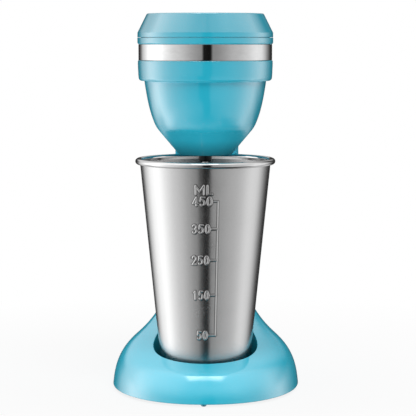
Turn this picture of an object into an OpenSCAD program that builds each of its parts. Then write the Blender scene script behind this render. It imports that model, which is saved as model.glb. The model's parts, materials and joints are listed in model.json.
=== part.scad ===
// Free-standing milkshake mixer: a dished base that sweeps up into a neck, a motor head that
// tips back on a knuckle hinge, a thin spindle with an agitator disc, and a tapered steel cup
// standing in a socket in the base.
// Millimetres. The worktop is z = 0, the cup and the spindle share the axis x = y = 0, the
// front faces -y and the right-hand side is +x.

// Piece to draw, or "all"

/* [Cup] */
// Height of the centre of the rolled rim
rim_z = 157.7; // [150:0.1:165]
// Thickness of the rolled rim
rim_roll = 4; // [2:0.1:6]
// Outer radius of the rolled rim
rim_r = 47.94; // [44:0.01:52]
// Outer radius of the cup body at the reference height of 150
cup_r150 = 44.06; // [40:0.01:48]
// Growth of the cup's radius per unit of height
cup_taper = 0.1005; // [0.05:0.0005:0.2]
// Height of the underside of the cup
cup_z = 19; // [15:0.5:25]
// Thickness of the cup's sheet
cup_wall = 0.8; // [0.5:0.1:1.5]

/* [Base] */
// Half width of the base at the worktop
base_half = 64.8; // [55:0.1:80]
// Height of the lower edge of the skirt
skirt_z = 2.1; // [1:0.1:5]
// How far the front of the skirt stands in front of the cup's axis
base_front = 61.6; // [55:0.1:75]
// How far the back of the skirt stands behind the cup's axis
base_back = 95.5; // [85:0.1:110]
// Wall thickness of the mouldings
wall = 2.3; // [1.5:0.1:4]
// Radius of the scooped surface round the cup at height 24
scoop_r = 35.2; // [33:0.1:38]
// Growth of the scooped radius per unit of height
scoop_taper = 0.1216; // [0.08:0.0002:0.2]
// Height of the floor of the socket
socket_z = 17; // [14:0.5:20]

/* [Hinge] */
// How far the hinge line is behind the cup's axis
hinge_y = 72; // [65:0.5:80]
// Height of the hinge line
hinge_z = 120; // [105:1:135]
// Radius of the knuckle
knuckle_r = 17; // [12:0.5:20]
// Half width of the slot between the two cheeks
slot_half = 15; // [10:0.5:17]
// Radius of the hinge pin
pin_r = 3; // [2:0.1:5]

/* [Head] */
// Height of the flat underside of the bowl
bowl_z = 162.4; // [160:0.1:170]
// Radius of the flat underside of the bowl
bowl_r = 18; // [14:0.1:24]
// Radius of the head at the upper ring
head_r = 46.15; // [40:0.05:55]
// Height of the top of the lid
top_z = 258; // [240:0.5:280]

/* [Drive] */
// Height of the lower end of the spindle
tip_z = 55; // [40:1:80]
// Radius of the spindle
spindle_r = 2.5; // [2:0.1:4]
// Radius of the agitator disc
agitator_r = 11; // [8:0.5:16]

/* [Hidden] */
$fn = 96;
gap = 0.05;                  // running clearance at every bearing
segs = 40;                   // points round each outline of a visible lofted form
inner_segs = 32;             // the same for the hidden forms
back_y = hinge_y + knuckle_r; // back face of the neck and the arm
screw_r = 1.5;               // shank of every screw
wire_r = 1;

SHELL = [0.62, 0.82, 0.88];
STEEL = [0.75, 0.76, 0.78];
DARK = [0.12, 0.12, 0.13];
COPPER = [0.72, 0.42, 0.24];
BRASS = [0.78, 0.64, 0.34];
MIRROR = [0.9, 0.9, 0.92];

// ---- shared rules ----

// Cubic curve between two keys, each [height, value, slope]
function blend(z, low, high) =
    let (span = high[0] - low[0], t = (z - low[0]) / span)
    (2*t*t*t - 3*t*t + 1) * low[1] + (t*t*t - 2*t*t + t) * span * low[2]
        + (3*t*t - 2*t*t*t) * high[1] + (t*t*t - t*t) * span * high[2];

// Value at height z on the smooth curve through a list of keys, held level beyond its ends
function along(z, keys, i = 0) =
    z <= keys[0][0] ? keys[0][1] :
    i >= len(keys) - 1 ? keys[len(keys) - 1][1] :
    z <= keys[i + 1][0] ? blend(z, keys[i], keys[i + 1]) : along(z, keys, i + 1);

// Points on a circular arc
function arc(centre, radius, from, to, steps) = [for (i = [0:steps])
    let (angle = from + (to - from) * i / steps)
    [centre[0] + radius * cos(angle), centre[1] + radius * sin(angle)]];

function power(value, exponent) = sign(value) * pow(abs(value), exponent);

// Superellipse read from a form's keys at height "at", drawn in by "inset" and placed at z.
// A form has five lists of keys: half width, front, middle and back in y, and squareness.
function section(form, at, inset, z, count) =
    let (half = along(at, form[0]) - inset,
        front = along(at, form[1]) + inset,
        mid = along(at, form[2]),
        back = along(at, form[3]) - inset,
        exponent = 2 / along(at, form[4]))
    [for (i = [0:count - 1])
        let (across = cos(360 * i / count), depth = sin(360 * i / count))
        [half * power(across, exponent),
            mid + (depth < 0 ? mid - front : back - mid) * power(depth, exponent), z]];

// Solid through a stack of outlines with equal numbers of points
module loft(rings) {
    sides = len(rings[0]);
    levels = len(rings);
    polyhedron(
        points = [for (outline = rings) each outline],
        faces = concat(
            [[for (i = [0:sides - 1]) i]],
            [[for (i = [sides - 1:-1:0]) (levels - 1) * sides + i]],
            [for (j = [0:levels - 2], i = [0:sides - 1])
                let (next = (i + 1) % sides, low = j * sides, high = low + sides) each
                [[low + i, high + i, high + next], [low + i, high + next, low + next]]]));
}

module mirrored() {
    children();
    mirror([1, 0, 0]) children();
}
module turned(step, first = 0) {
    for (angle = [first:step:359]) rotate([0, 0, angle]) children();
}
module rod_x(radius, x0, x1, y, z) {
    translate([x0, y, z]) rotate([0, 90, 0]) cylinder(r = radius, h = x1 - x0);
}
module rod_y(radius, y0, y1, x, z) {
    translate([x, y0, z]) rotate([-90, 0, 0]) cylinder(r = radius, h = y1 - y0);
}
module rod_z(radius, z0, z1) { translate([0, 0, z0]) cylinder(r = radius, h = z1 - z0); }
// Upright rods at a list of [x, y] spots
module rods(spots, radius, z, height) {
    for (spot = spots) translate([spot[0], spot[1], z]) cylinder(r = radius, h = height);
}
module box(x0, x1, y0, y1, z0, z1) {
    translate([x0, y0, z0]) cube([x1 - x0, y1 - y0, z1 - z0]);
}
module ring(inner, outer, z0, z1) {
    translate([0, 0, z0]) difference() {
        cylinder(r = outer, h = z1 - z0);
        translate([0, 0, -1]) cylinder(r = inner, h = z1 - z0 + 2);
    }
}
// A flat shape drawn in the (y, z) plane, given thickness along x
module side_plate(x0, x1) {
    translate([x0, 0, 0]) rotate([90, 0, 90]) linear_extrude(height = x1 - x0) children();
}
// Part of a torus about the z axis, starting at +x
module bend(radius, angle, tube_r, sides) {
    rotate_extrude(angle = angle) translate([radius, 0]) circle(r = tube_r, $fn = sides);
}
// The same in the (y, z) plane, starting at an angle measured from +y
module bend_yz(y, z, radius, start, angle, tube_r, sides) {
    translate([0, y, z]) rotate([90, 0, 90]) rotate([0, 0, start])
        bend(radius, angle, tube_r, sides);
}

// ---- base and neck ----

plate_z = 3;
plate_h = 2;
plate_top = plate_z + plate_h;
screw_head_z = 2.4;
foot_stud_r = 2.5;
entry_z = 11;                // height at which the cord enters the base
tongue_half = 14.5;
knuckle_half = 23;
cap_x = 21;                  // floor of each cap recess
cap_r = 6;
cut_x = 30;                  // how far cuts along the hinge line reach to each side

screw_spots = [[49, 17], [-49, 17], [20, 79], [-20, 79]];
clamp_spots = [[7, 82.5], [-7, 82.5]];
// front right, front left, rear right, rear left
foot_spots = [[44, -20], [-44, -20], [35, 71], [-35, 71]];

// Keys are [height, value, slope]
base_keys = [
    // half width
    [[skirt_z, base_half, -0.1], [31, 50.2, -1.27], [90, 24.2, -0.05], [140, 22.9, -0.02]],
    // front
    [[skirt_z, -base_front, 0.2], [16, -53.8, 0.9], [23.9, -34.5, 5], [38, 12, 1.6],
        [60, 30, 0.3], [140, 38, 0]],
    // middle
    [[skirt_z, 17, 0], [29, 28, 0.5], [60, 56, 0.6], [90, 68, 0], [140, 70, 0]],
    // back
    [[skirt_z, base_back, -0.05], [31, 91.5, -0.12], [80, back_y, 0], [140, back_y, 0]],
    // squareness
    [[skirt_z, 2.15, 0], [29, 2.2, 0.01], [70, 3.6, 0.03], [100, 4.2, 0], [140, 4.2, 0]]
];

// Heights at which the base's outline is taken: close together where the dish is shallow
base_heights = concat([skirt_z, 5, 9, 13, 16.5], [for (z = [19.2:1.6:27.2]) z],
    [for (z = [30:3:42]) z], [46, 52, 60, 73, 90, hinge_z]);

// "every" thins the heights out for the hidden inside surfaces
module base_form(inset = 0, drop = 0, top = hinge_z, count = segs, every = 1) {
    picked = [for (i = [0:every:len(base_heights) - 1])
        if (base_heights[i] < top) base_heights[i]];
    loft([for (z = concat(picked, [top])) section(base_keys, z, inset, z - drop, count)]);
}

function scoop_radius(z) = scoop_r + scoop_taper * (z - 24);
module scoop(extra = 0, floor = socket_z, top = 170) {
    translate([0, 0, floor]) cylinder(
        r1 = scoop_radius(floor) + extra, r2 = scoop_radius(top) + extra, h = top - floor);
}

module hinge_rod(radius, x0, x1) { rod_x(radius, x0, x1, hinge_y, hinge_z); }

module base_shell() {
    color(SHELL) difference() {
        union() {
            difference() {
                union() {
                    base_form();
                    hinge_rod(knuckle_r, -knuckle_half, knuckle_half);
                }
                scoop();
                // hollow inside, kept a wall away from the scooped surface
                difference() {
                    base_form(inset = 1.7, drop = 2.2, top = 102, count = inner_segs, every = 2);
                    scoop(wall, socket_z - wall);
                }
            }
            // screw posts
            intersection() {
                base_form(inset = 0.8, drop = 1, top = 60, count = inner_segs, every = 2);
                rods(screw_spots, 4, plate_top, 50);
            }
            // pip under the front lip
            translate([0, 2.8 - base_front, 0]) cylinder(r = 1.9, h = 2.9);
        }
        rods(screw_spots, screw_r, 4, 14);
        // hole for the strain relief
        rod_y(4.6, 84, 104, 0, entry_z);
        // slot for the tongue of the head, and the wire passage under it
        hinge_rod(slot_half, -slot_half, slot_half);
        box(-slot_half, slot_half, hinge_y, 100, 116.5, 150);
        box(-slot_half, slot_half, 40, hinge_y, hinge_z + 0.4, 150);
        translate([0, hinge_y, 90]) cylinder(r = 3.5, h = 24);
        // pin bore and cap recesses
        hinge_rod(pin_r, -cut_x, cut_x);
        mirrored() hinge_rod(cap_r, cap_x, cut_x);
    }
}

module base_plate() {
    color(DARK) difference() {
        translate([0, 0, plate_z]) linear_extrude(height = plate_h)
            polygon([for (point = section(base_keys, 7, 2.8, 0, 60)) [point[0], point[1]]]);
        // clearance holes and head recesses
        rods(screw_spots, 1.8, 2, 4);
        rods(screw_spots, 3.2, 2, 2);
        rods(foot_spots, foot_stud_r, 2, 4);
        rods(clamp_spots, 1.6, 2, 4);
        rods(clamp_spots, 2.8, 2, 1.9);
    }
}

module ballast_plate() {
    color(STEEL) translate([0, 0, plate_top]) linear_extrude(height = 7)
        hull() for (x = [-33, 33], y = [-24, 60]) translate([x, y]) circle(r = 6, $fn = 48);
}

// Screws pointing up from under the base plate
module screws(spots, head_radius, head_height, length) {
    rods(spots, head_radius, screw_head_z, head_height);
    rods(spots, screw_r, screw_head_z + head_height, length);
}
module base_screws() { color(STEEL) screws(screw_spots, 3, 1.6, 12); }

// Round pad with a rounded lower edge
module foot_pad(radius, edge = 0.8, height = 3) {
    flat = radius - edge;
    rotate_extrude() polygon(concat(
        [[0, 0], [flat, 0]], arc([flat, edge], edge, -90, 0, 4), [[radius, height], [0, height]]));
}
// Pad with a stud through the base plate and a tapered head above it
module foot(i) {
    color(DARK) translate([foot_spots[i][0], foot_spots[i][1], 0]) {
        foot_pad(7);
        cylinder(r = foot_stud_r, h = 6);
        translate([0, 0, plate_top]) cylinder(r1 = 4, r2 = 2.6, h = 2);
    }
}
module foot_front_right() foot(0);
module foot_front_left() foot(1);
module foot_rear_right() foot(2);
module foot_rear_left() foot(3);
// Plain pad under the cup's axis
module foot_middle() { color(DARK) foot_pad(11); }

module cup_seat_pad() {
    color(DARK) difference() {
        rod_z(31.5, socket_z, cup_z);
        rod_z(20, socket_z + 1, socket_z + 6);
    }
}

// ---- cord ----

cord_r = 2.6;
cord_sides = 12;
cord_z = 2.9;                // centre height of the cord on the worktop
cord_end_y = 76;             // end of the cord inside the base
drop_r = 16;                 // the two bends that bring it down
drop_angle = acos(1 - (entry_z - cord_z) / (2 * drop_r));
drop_y = 118;
fold_y = drop_y + 2 * drop_r * sin(drop_angle);
fold_x = 29;                 // reach of the flat folds to each side
fold_r = 6;
last_x = 24;                 // the last, wider fold
last_r = 10;
plug_x = 20;                 // the cord enters the plug at -plug_x
plug_y = fold_y + 7 * fold_r + 2 * last_r;
plug_tail = -plug_x - 4;
plug_h = 11;
prong_z = 5.8;
prong_y = 9.3;               // offset of each pin from the plug's centre line
prong_r = 1;                 // thin part of each pin

module strain_relief() {
    color(DARK) difference() {
        union() {
            rod_y(4.5, 90, 97, 0, entry_z);
            rod_y(5.8, 89.4, 91.3, 0, entry_z);
            translate([0, 95.7, entry_z]) rotate([-90, 0, 0]) cylinder(r1 = 5.6, r2 = 4, h = 20);
        }
        rod_y(cord_r, 80, 130, 0, entry_z);
        // grooves round the tapered tail
        for (y = [101:4:113]) translate([0, y, entry_z]) rotate([-90, 0, 0])
            ring(3.6, 7, 0, 1.5);
    }
}

module cord_x(x0, x1, y) { rod_x(cord_r, x0, x1, y, cord_z, $fn = cord_sides); }
// Flat bend on the worktop
module cord_bend(x, y, radius, start, angle) {
    translate([x, y, cord_z]) rotate([0, 0, start]) bend(radius, angle, cord_r, cord_sides);
}
// Bend in the plane x = 0, run over by 0.1 degree at each end
module cord_drop(y, z, end_angle) {
    bend_yz(y, z, drop_r, end_angle - 0.1 - drop_angle, drop_angle + 0.2, cord_r, cord_sides);
}

module power_cord() {
    color(DARK) {
        rod_y(cord_r, cord_end_y, drop_y, 0, entry_z, $fn = cord_sides);
        // down to the worktop
        cord_drop(drop_y, entry_z - drop_r, 90);
        cord_drop(fold_y, cord_z + drop_r, 270);
        // to the right, then back and forth in flat folds
        cord_bend(fold_r, fold_y, fold_r, 90, 90);
        cord_x(fold_r, fold_x, fold_y + fold_r);
        for (i = [0:2]) {
            side = i % 2 == 0 ? 1 : -1;
            y = fold_y + 2 * fold_r * (i + 1);
            cord_bend(side * fold_x, y, fold_r, -90 * side, 180);
            cord_x(i == 2 ? -last_x : -fold_x, fold_x, y + fold_r);
        }
        // a wider last fold leaves room for the plug
        cord_bend(-last_x, fold_y + 7 * fold_r + last_r, last_r, 90, 180);
        cord_x(-last_x, -plug_x, plug_y);
    }
}

// The plug's two pins, or parts of them
module prongs(radius, x0, x1) {
    for (side = [-1, 1]) rod_x(radius, x0, x1, plug_y + side * prong_y, prong_z);
}

// Two-pin plug lying flat, with its pins pointing to +x
module plug_body() {
    color(DARK) {
        difference() {
            translate([0, plug_y, 0.3]) intersection() {
                // outline from above
                linear_extrude(height = plug_h) hull() {
                    translate([plug_tail, -4]) square([8, 8]);
                    for (x = [-4, 11], y = [-10, 10]) translate([x, y]) circle(r = 3, $fn = 32);
                }
                // outline from the side, lower at the tail
                translate([0, 20, 0]) rotate([90, 0, 0]) linear_extrude(height = 40)
                    polygon([[-30, -1], [-30, 5.6], [plug_tail, 5.6], [-10, plug_h],
                        [20, plug_h], [20, -1]]);
            }
            rod_x(cord_r, -40, -plug_x, plug_y, cord_z);
            prongs(prong_r, 4, 20);
        }
        // the insulated root of each pin
        difference() {
            prongs(1.5, 13, 24);
            prongs(prong_r, 12, 25);
        }
    }
}
module plug_pins() {
    color(BRASS) {
        prongs(prong_r, 4, 25);
        prongs(2, 24, 33);
    }
}

module cord_clamp() {
    color(STEEL) difference() {
        box(-10, 10, 79, 86, plate_top, 15.5);
        rod_y(cord_r, 70, 90, 0, entry_z);
        rods(clamp_spots, screw_r, 4, 9);
    }
}
module clamp_screws() { color(STEEL) screws(clamp_spots, 2.6, 1.5, 8); }

// Two wires that turn up from the end of the cord and run up the neck
module supply_wires() {
    turn_r = 5;
    turn_z = entry_z + turn_r;
    color(COPPER) mirrored() translate([1.5, 0, 0]) {
        bend_yz(cord_end_y, turn_z, turn_r, 180, 90, wire_r, 32);
        translate([0, cord_end_y - turn_r, turn_z]) cylinder(r = wire_r, h = 80);
    }
}

// ---- hinge ----

bush_r = 4.5;

module hinge_pin() { color(STEEL) hinge_rod(pin_r, 0.1 - cap_x, cap_x - 0.1); }
module hinge_cap_right() { color(DARK) hinge_rod(cap_r - gap, cap_x, knuckle_half - 0.1); }
module hinge_cap_left() mirror([1, 0, 0]) hinge_cap_right();
module hinge_bush_right() {
    color(BRASS) difference() {
        hinge_rod(bush_r, 6.5, tongue_half);
        hinge_rod(pin_r + gap, 0, 20);
    }
}
module hinge_bush_left() mirror([1, 0, 0]) hinge_bush_right();
module hinge_washers() {
    color(DARK) mirrored() difference() {
        hinge_rod(7, tongue_half, slot_half - gap);
        hinge_rod(pin_r + gap, 10, 20);
    }
}

// ---- head ----

cone_z = 181;                // top of the bowl's lower cone
cone_r = 33.6;
bowl_keys = [[cone_z, cone_r, 0.45], [211, 41.3, 0.15]];
cone_slope = (cone_r - bowl_r) / (cone_z - bowl_z);
function bowl_radius(z) =
    z < cone_z ? bowl_r + cone_slope * (z - bowl_z) : along(z, bowl_keys);
collar_z = 212.6;            // foot of the rounded collar above the bowl
shoulder_z = 226.4;
spigot_r = 43.8;             // carries the band, the upper ring and the lid
fit_r = spigot_r + gap;
collar_bore = 6.5;           // opening for the splash collar

// Profiles of the head are [radius, height]
module bowl_solid() {
    rotate_extrude() polygon(concat(
        [[0, bowl_z], [bowl_r - 1.2, bowl_z], [bowl_r - 0.2, bowl_z + 0.5]],
        [[bowl_radius(164), 164], [bowl_radius(179.6), 179.6]],
        // fine groove where the cone ends
        [[bowl_radius(180.6) - 0.15, 180.6], [33.9, 181.8]],
        [for (z = [184:3:211]) [bowl_radius(z), z]],
        [[41.4, collar_z]],
        arc([43.4, collar_z + 2], 2, -90, 0, 5),
        [[45.6, 217], [45.9, 225.6], [45.5, shoulder_z]],
        [[spigot_r, shoulder_z], [spigot_r, 244.5], [0, 244.5]]));
}
module bowl_hollow() {
    rotate_extrude() polygon(concat(
        [[0, bowl_z + wall], [bowl_r - 1.4, bowl_z + wall], [bowl_radius(179.5) - 2.7, 180.2]],
        [for (z = [184:4.5:211]) [bowl_radius(z) - wall, z]],
        [[39.2, 214.9], [41.6, 217], [41.6, 250], [0, 250]]));
}

// Keys are [height, value, slope]
arm_keys = [
    // half width
    [[120, 23.1, 0], [165, 22.7, 0], [200, 25.5, 0.12], [222, 27.5, 0.05]],
    // front
    [[120, 38, 0], [182, 36, 0], [222, 20, 0]],
    // middle
    [[120, 70, 0], [170, 68, 0], [200, 50, -0.8], [222, 30, -0.9]],
    // back
    [[120, back_y, 0], [170, back_y, 0], [200, 80, -0.75], [222, 43, -2.4]],
    // squareness
    [[120, 4.2, 0], [170, 4.2, 0], [222, 2.6, 0]]
];
head_gap = 0.6;              // clearance between the arm and the fixed neck
arm_z = hinge_z + head_gap;
arm_wall = 2.4;
arm_heights = concat([arm_z, 140, 165, 175], [for (z = [182:5:212]) z], [215.5, 218.5, 221]);

module arm_form(inset, z0, z1, count = segs) {
    heights = concat([z0], [for (z = arm_heights) if (z > z0 && z < z1) z], [z1]);
    loft([for (z = heights) section(arm_keys, z, inset, z, count)]);
}

module head_housing() {
    hinge = [hinge_y, hinge_z];
    color(SHELL) difference() {
        union() {
            difference() {
                arm_form(0, arm_z, 221);
                scoop(0, 100, 182);
                // sweep of the fixed knuckle
                hinge_rod(knuckle_r + head_gap, -cut_x, cut_x);
                side_plate(-cut_x, cut_x) polygon([hinge, hinge + 60 * [cos(55), sin(55)],
                    [hinge_y + 60, 100], [hinge_y, 100]]);
            }
            bowl_solid();
            // tongue and hub of the hinge
            hinge_rod(14, -tongue_half, tongue_half);
            side_plate(-tongue_half, tongue_half)
                polygon(concat([hinge], arc(hinge, 19.6, 57, 177, 24)));
        }
        bowl_hollow();
        // inside of the arm
        difference() {
            arm_form(arm_wall, 140, 218.5, inner_segs);
            scoop(arm_wall, 100, 184.5);
        }
        // wire groove round the hub
        difference() {
            hinge_rod(20, -3, 3);
            hinge_rod(9.5, -4, 4);
        }
        hinge_rod(bush_r, -cut_x, cut_x);
        rod_z(collar_bore, 150, 170);
        // opening for the switch
        box(-9, 9, 80, 95, 142, 168);
        // cooling slots
        for (z = [181:5.5:204]) box(-11, 11, 64, 96, z, z + 2);
    }
}

module mirror_band() { color(MIRROR) ring(fit_r, 45.45, 226.5, 237.3); }
module upper_ring() {
    z0 = 237.4;
    z1 = 241.6;
    color(SHELL) rotate_extrude() polygon(concat(
        [[fit_r, z0], [head_r - 1, z0]],
        arc([head_r - 1, z0 + 1], 1, -90, 0, 4),
        [[head_r, z1 - 0.4], [head_r - 0.4, z1], [fit_r, z1]]));
}
module lid() {
    lid_r = head_r - gap;
    color(SHELL) rotate_extrude() polygon(concat(
        [[fit_r, 242.2], [head_r - 0.4, 242.2], [lid_r, 242.5], [lid_r, 245], [40.1, 257.0]],
        arc([38.95, 256.9], 1.1, 20, 90, 4),
        [[0, top_z], [0, top_z - wall], [37.5, top_z - wall], [43.2, 245.9], [fit_r, 244.7]]));
}

module splash_collar() {
    neck_r = collar_bore - gap;
    color(DARK) rotate_extrude() polygon([
        [4.6, 161.6], [7.6, 161.6], [8, 162], [8, bowl_z], [neck_r, bowl_z],
        [neck_r, bowl_z + wall], [7.4, bowl_z + wall], [7.4, 166], [4.6, 166]]);
}

// ---- switch ----

switch_z = 155;
rocker_y = 86;               // pivot of the rocker
window_half = 10;            // half height of the opening round the rocker

module switch_bezel() {
    color(DARK) difference() {
        union() {
            box(-11, 11, back_y + gap, 90.8, switch_z - 14, switch_z + 14);
            box(-8.8, 8.8, 83.5, back_y + gap, switch_z - 12.6, switch_z + 12.6);
        }
        box(-7.2, 7.2, 80, 95, switch_z - window_half, switch_z + window_half);
        rod_x(1.5, -8.5, 8.5, rocker_y, switch_z);
    }
}
module switch_rocker() {
    color(DARK) {
        side_plate(-7, 7) polygon([
            [84, switch_z - 8.7], [91.4, switch_z - 8.7], [91.8, switch_z - 8.2],
            [90.2, switch_z],
            [91.8, switch_z + 8.2], [91.4, switch_z + 8.7], [84, switch_z + 8.7]]);
        rod_x(1.4, -8.4, 8.4, rocker_y, switch_z);
    }
}
module switch_body() {
    color(DARK) difference() {
        box(-8.8, 8.8, 66, 83.4, switch_z - 11, switch_z + 11);
        box(-7.4, 7.4, 80.5, 84, switch_z - window_half, switch_z + window_half);
    }
}
// Two wires that rise from the switch body and turn forward
module head_leads() {
    turn_r = 6;
    turn_y = 64;
    turn_z = switch_z + 40;
    color(COPPER) mirrored() translate([3, 0, 0]) {
        translate([0, turn_y + turn_r, switch_z + 11]) cylinder(r = wire_r, h = 29);
        bend_yz(turn_y, turn_z, turn_r, 0, 90, wire_r, 32);
        rod_y(wire_r, 23.1, turn_y, 0, turn_z + turn_r);
    }
}

// ---- motor ----

stud_spots = [[25, 12], [-25, -12]];
shaft_r = pin_r;
bearing_r = 5;
bridge_h = 2.5;
lower_z = 182;               // undersides of the two bridges
upper_z = 217.1;
core_z = 189;
core_h = 18;
core_top = core_z + core_h;
commutator_r = 8;
joint_z = 165;               // the shaft meets the spindle
fan_z = 172;

// Round plate with a bearing boss and four holes round it
module bridge(radius, z, boss_z, boss_h) {
    color(STEEL) difference() {
        union() {
            rod_z(radius, z, z + bridge_h);
            rod_z(9, boss_z, boss_z + boss_h);
        }
        rod_z(bearing_r, boss_z - 1, boss_z + boss_h + 1);
        rods(stud_spots, screw_r, z - 1, bridge_h + 2);
        turned(90, 45) translate([19, 0, z - 1]) cylinder(r = 6.5, h = bridge_h + 2);
    }
}
module motor_bridge_lower() { bridge(30.9, lower_z, 180, 6.2); }
module motor_bridge_upper() { bridge(41.4, upper_z, upper_z, 7); }
module bearing_lower() { color(BRASS) ring(shaft_r + gap, bearing_r, 180.5, 186.2); }
module bearing_upper() { color(BRASS) ring(shaft_r + gap, bearing_r, 217.6, 224); }
module motor_screws() {
    head_z = upper_z + bridge_h;
    color(STEEL) {
        rods(stud_spots, screw_r, lower_z, head_z + 1 - lower_z);
        rods(stud_spots, 3, head_z, 2);
    }
}
module motor_spacers() {
    color(BRASS) for (spot = stud_spots) translate([spot[0], spot[1], 0]) {
        ring(screw_r, 3, lower_z + bridge_h, core_z);
        ring(screw_r, 3, core_top, upper_z);
    }
}
module field_core() {
    color(STEEL) difference() {
        translate([0, 0, core_z]) intersection() {
            cylinder(r = 31, h = core_h);
            box(-32, 32, -23, 23, 0, core_h);
        }
        rod_z(15.6, core_z - 1, core_top + 1);
        // windows for the coils
        for (y = [-20, 12]) box(-13, 13, y, y + 8, core_z - 1, core_top + 1);
        rods(stud_spots, screw_r, core_z - 1, core_h + 2);
    }
}
module field_coil(side) {
    color(COPPER) translate([0, side * 18.05, core_z - 3.5]) linear_extrude(height = core_h + 7)
        hull() for (x = [-10.5, 10.5]) translate([x, 0]) circle(r = 1.95, $fn = 32);
}
module field_coil_front() field_coil(-1);
module field_coil_rear() field_coil(1);

// The brush channel through each holder, and the brush a gap smaller all round
module brush_bar(x0, x1, inset = 0) {
    box(x0, x1, inset - 2.5, 2.5 - inset, 211.8 + inset, 216.3 - inset);
}
module brush_holder_right() {
    color(BRASS) difference() {
        box(11, 24, -3.8, 3.8, 210.9, upper_z);
        brush_bar(10, 25);
    }
}
module brush_holder_left() mirror([1, 0, 0]) brush_holder_right();
module brush_right() {
    color(DARK) difference() {
        brush_bar(7, 20, gap);
        rod_z(commutator_r + gap, 205, 225);
    }
}
module brush_left() mirror([1, 0, 0]) brush_right();

module motor_shaft() { color(STEEL) rod_z(shaft_r, joint_z, 225); }
module armature_core() {
    color(STEEL) difference() {
        ring(shaft_r, 15.1, core_z, core_top);
        turned(30) box(11, 17, -1, 1, core_z - 1, core_top + 1);
    }
}
module armature_windings() {
    color(COPPER) {
        ring(shaft_r, 13, core_z - 2, core_z);
        ring(shaft_r, 13, core_top, core_top + 3);
    }
}
module commutator() {
    color(COPPER) difference() {
        ring(shaft_r, commutator_r, 211.3, 216.6);
        turned(30) box(7.2, 9.2, -0.2, 0.2, 211, 217);
    }
}
module cooling_fan() {
    color(DARK) {
        ring(shaft_r, 6, fan_z, fan_z + 6.5);
        ring(5.5, 18, fan_z, fan_z + 1.2);
        turned(40) box(5.5, 17.5, -0.6, 0.6, fan_z + 0.6, fan_z + 6.2);
    }
}

// Sleeve round the joint, stepped inside from the spindle's radius to the shaft's
module drive_coupling() {
    color(DARK) rotate_extrude() polygon([
        [spindle_r, 157.4], [3.8, 157.4], [4.3, 157.9], [4.3, 171],
        [shaft_r, 171], [shaft_r, joint_z], [spindle_r, joint_z]]);
}
module spindle() { color(STEEL) rod_z(spindle_r, tip_z, joint_z); }
module agitator() {
    color(STEEL) difference() {
        union() {
            rod_z(4, tip_z - 0.5, tip_z + 6);
            rod_z(agitator_r, tip_z + 1.6, tip_z + 3);
            turned(60) box(3, agitator_r - 0.6, -0.6, 0.6, tip_z + 0.2, tip_z + 4.4);
        }
        rod_z(spindle_r, tip_z, tip_z + 20);
    }
}

// ---- cup ----

function cup_radius(z) = cup_r150 + cup_taper * (z - 150);
mark_heights = [133.9, 115.3, 94.1, 70.2, 42.6];
mark_angle = 12.6;           // the scale's place, turned from the front towards +x

// Raised bar on the front of the cup's wall, centred at height z and turned by an angle
module cup_bar(angle, z, width, height) {
    rotate([0, 0, angle]) translate([0, -cup_radius(z), z]) rotate([atan(cup_taper), 0, 0])
        translate([-width / 2, -0.25, -height / 2]) cube([width, 0.6, height]);
}

module cup() {
    foot_r = cup_radius(cup_z);
    neck_z = 156;            // the body ends and the rim begins
    neck_r = cup_radius(neck_z);
    rim = [rim_r - rim_roll / 2, rim_z];
    color(STEEL) {
        rotate_extrude() polygon(concat(
            // outside, from the raised middle of the bottom up to the rim
            [[0, cup_z + 2.4], [24, cup_z + 2.4], [25.2, cup_z]],
            arc([foot_r - 2.4, cup_z + 2.6], 2.6, -90, -6, 5),
            [[neck_r, neck_z]],
            // inside and then outside of the rolled sheet
            arc(rim, rim_roll / 2 - cup_wall, 180, -115, 10),
            arc(rim, rim_roll / 2, -115, 180, 14),
            // inside, down to the bottom
            [[neck_r - cup_wall, neck_z]],
            [[cup_radius(cup_z + 5) - cup_wall, cup_z + 5]],
            arc([foot_r - 3.4, cup_z + 5.2], 2, -6, -90, 4),
            [[0, cup_z + 3.2]]));
        // raised scale: one upright line and a tick at each mark
        cup_bar(mark_angle, 88, 0.6, 94);
        for (z = mark_heights) cup_bar(mark_angle - 2.4, z, 3.6, 0.6);
    }
}

base_shell();
base_plate();
ballast_plate();
base_screws();
foot_front_left();
foot_front_right();
foot_rear_left();
foot_rear_right();
foot_middle();
cup_seat_pad();
strain_relief();
power_cord();
plug_body();
plug_pins();
cord_clamp();
clamp_screws();
supply_wires();
hinge_pin();
hinge_cap_left();
hinge_cap_right();
head_housing();
hinge_bush_left();
hinge_bush_right();
hinge_washers();
mirror_band();
upper_ring();
lid();
splash_collar();
switch_bezel();
switch_body();
head_leads();
motor_bridge_lower();
motor_bridge_upper();
motor_screws();
motor_spacers();
bearing_lower();
bearing_upper();
field_core();
field_coil_front();
field_coil_rear();
brush_holder_left();
brush_holder_right();
brush_left();
brush_right();
switch_rocker();
motor_shaft();
armature_core();
armature_windings();
commutator();
cooling_fan();
drive_coupling();
spindle();
agitator();
cup();
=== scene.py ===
# A spindle mixer: a base with a neck, a head hinged on the neck, and a steel cup marked in mL.
# The spindle hangs from the head into the cup. It stands on z = 0. The z axis is the axis of the
# cup, bowl and spindle, the front faces -y, the hinge is at the back and lies along x.
import json
import math

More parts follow.
